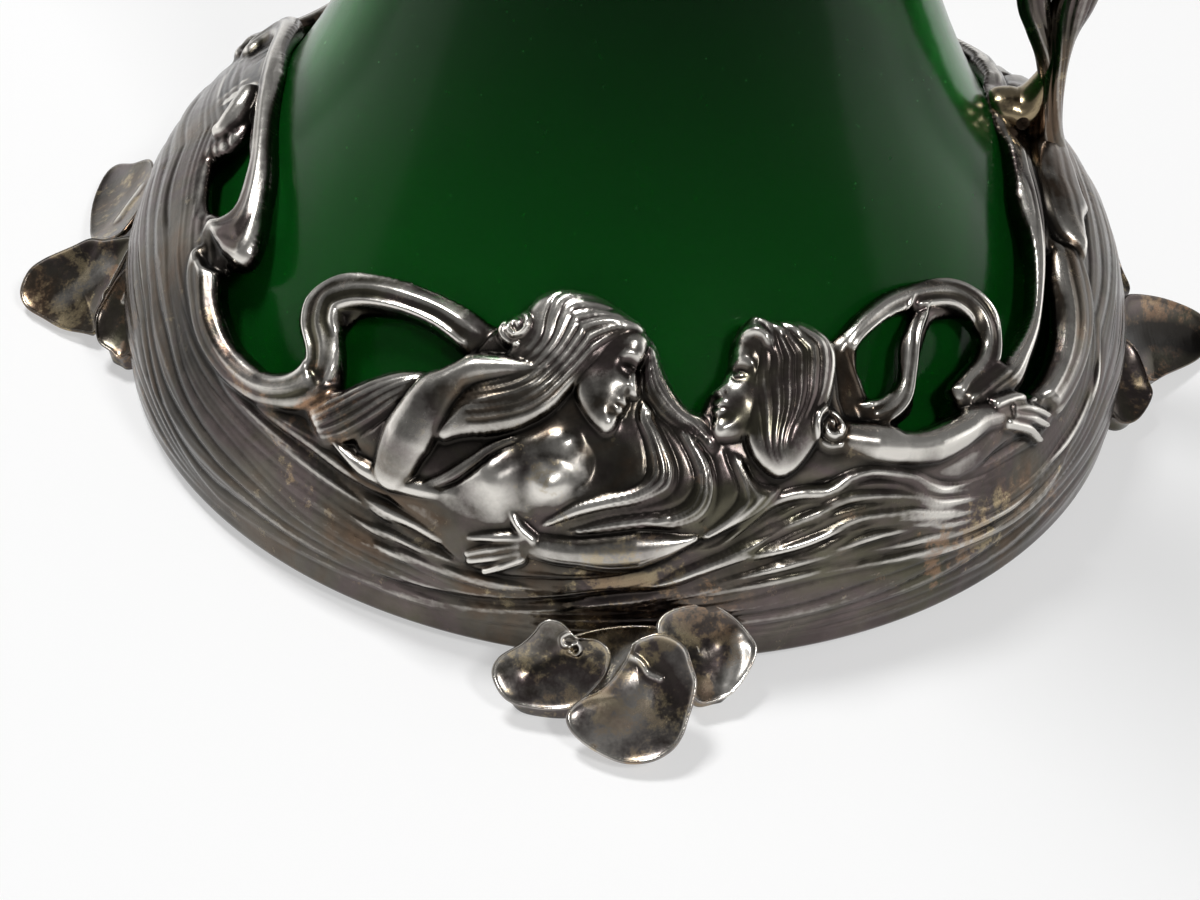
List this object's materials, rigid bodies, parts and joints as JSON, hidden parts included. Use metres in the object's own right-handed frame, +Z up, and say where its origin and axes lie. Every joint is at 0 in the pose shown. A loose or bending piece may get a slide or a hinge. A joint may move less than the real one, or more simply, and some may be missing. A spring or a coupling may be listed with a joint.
{
  "type": "glass decanter",
  "caption": "Flared green glass decanter in a cast silvered mount with figure relief and leaf feet, with a hinged lid, a spout and a bow handle.",
  "frame": {"origin": "on the vessel's axis at table level", "axes": "+Z up along the vessel's axis, +X towards the handle, -X towards the spout, -Y towards the front relief"},
  "size_m": [0.2132, 0.2132, 0.3833],
  "materials": {
    "silver_plate": "tarnished silver plate over cast metal, bright on the ridges",
    "green_glass": "clear bottle green, polished",
    "plaster": "set plaster",
    "cement": "set cement"
  },
  "bodies": {
    "vessel": {"base_band": "silver_plate", "base_plate": "silver_plate", "foot_handle_side": "silver_plate", "foot_back": "silver_plate", "foot_spout_side": "silver_plate", "foot_front": "silver_plate", "handle_stem": "silver_plate", "handle_tendril": "silver_plate", "handle_sheath": "silver_plate", "handle_lug": "silver_plate", "handle_lower_pin": "silver_plate", "maiden_front_spout": "silver_plate", "maiden_back_spout": "silver_plate", "maiden_front_handle": "silver_plate", "maiden_back_handle": "silver_plate", "ribbon_spout_front": "silver_plate", "ribbon_spout_back": "silver_plate", "ribbon_handle_front": "silver_plate", "ribbon_handle_back": "silver_plate", "strap_handle_front": "silver_plate", "strap_handle_back": "silver_plate", "ribbon_spout_side": "silver_plate", "neck_collar": "silver_plate", "spout_cup": "silver_plate", "hinge_bracket": "silver_plate", "hinge_pin": "silver_plate", "glass_vessel": "green_glass", "plaster_bedding": "plaster", "collar_cement": "cement"},
    "lid": {"lid_shell": "silver_plate", "lid_hinge_arm": "silver_plate", "thumbpiece": "silver_plate", "finial": "silver_plate", "finial_nut": "silver_plate"}
  },
  "joints": [
    {"name": "lid_hinge", "type": "hinge", "parent": "vessel", "child": "lid", "pos_m": [0.0315, 0, 0.328], "axis": [0, 1, 0], "range_deg": [0, 100]}
  ]
}
